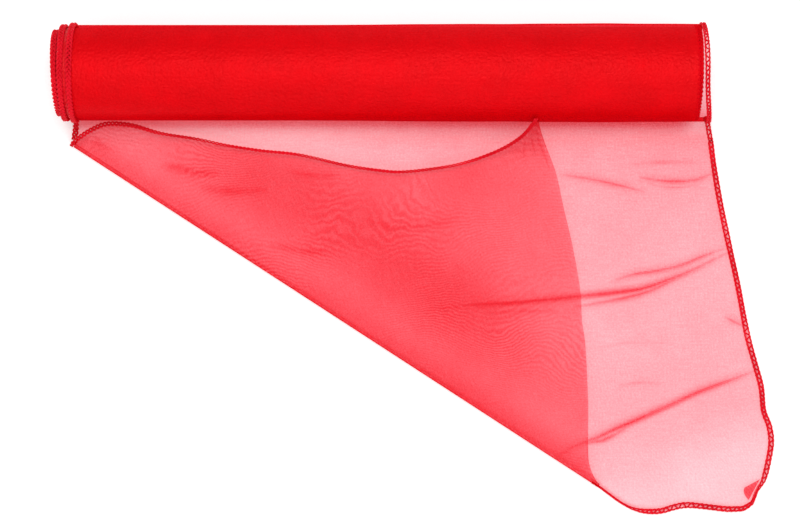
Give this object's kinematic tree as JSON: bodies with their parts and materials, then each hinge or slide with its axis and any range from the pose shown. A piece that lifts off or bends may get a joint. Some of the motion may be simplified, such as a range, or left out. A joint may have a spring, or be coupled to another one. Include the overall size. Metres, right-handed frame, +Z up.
{
  "type": "fabric bolt",
  "caption": "Small roll of sheer organza on a paper core, its lead drawn over the front, laid out flat and folded back diagonally, with thick corded edges.",
  "frame": {"origin": "bottom centre of the object's bounding box, on the table it lies on", "axes": "+X along the roll, +Y from the laid-out lead towards the roll, +Z up"},
  "size_m": [0.4186, 0.2846, 0.0581],
  "materials": {
    "red_organza": "sheer, soft sheen",
    "red_edge_cord": "matt looped thread",
    "core_paper": "uncoated paperboard",
    "clear_tape": "clear, glossy"
  },
  "bodies": {
    "sheet": {"outer_turn": "red_organza", "lead_sheet": "red_organza", "left_turn_hem": "red_edge_cord", "right_turn_hem": "red_edge_cord", "right_hem": "red_edge_cord", "end_hem": "red_edge_cord", "fold_roll": "red_organza", "corner_tuck": "red_organza"},
    "roll": {"core_inner_ply": "core_paper", "core_outer_ply": "core_paper", "start_tape": "clear_tape", "inner_winding": "red_organza", "outer_winding": "red_organza", "left_inner_coil": "red_edge_cord", "left_outer_coil": "red_edge_cord", "right_inner_coil": "red_edge_cord", "right_outer_coil": "red_edge_cord"},
    "flap": {"flap_panel": "red_organza", "flap_hem": "red_edge_cord"}
  },
  "joints": [
    {"name": "roll_turn", "type": "hinge", "parent": "sheet", "child": "roll", "pos_m": [-0.01756, 0.11329, 0.0291], "axis": [1, 0, 0], "continuous": true},
    {"name": "flap_fold", "type": "hinge", "parent": "sheet", "child": "flap", "pos_m": [-0.20316, 0.07329, 0.0022], "axis": [0.839, -0.5441, 0], "range_deg": [0, 140]}
  ]
}
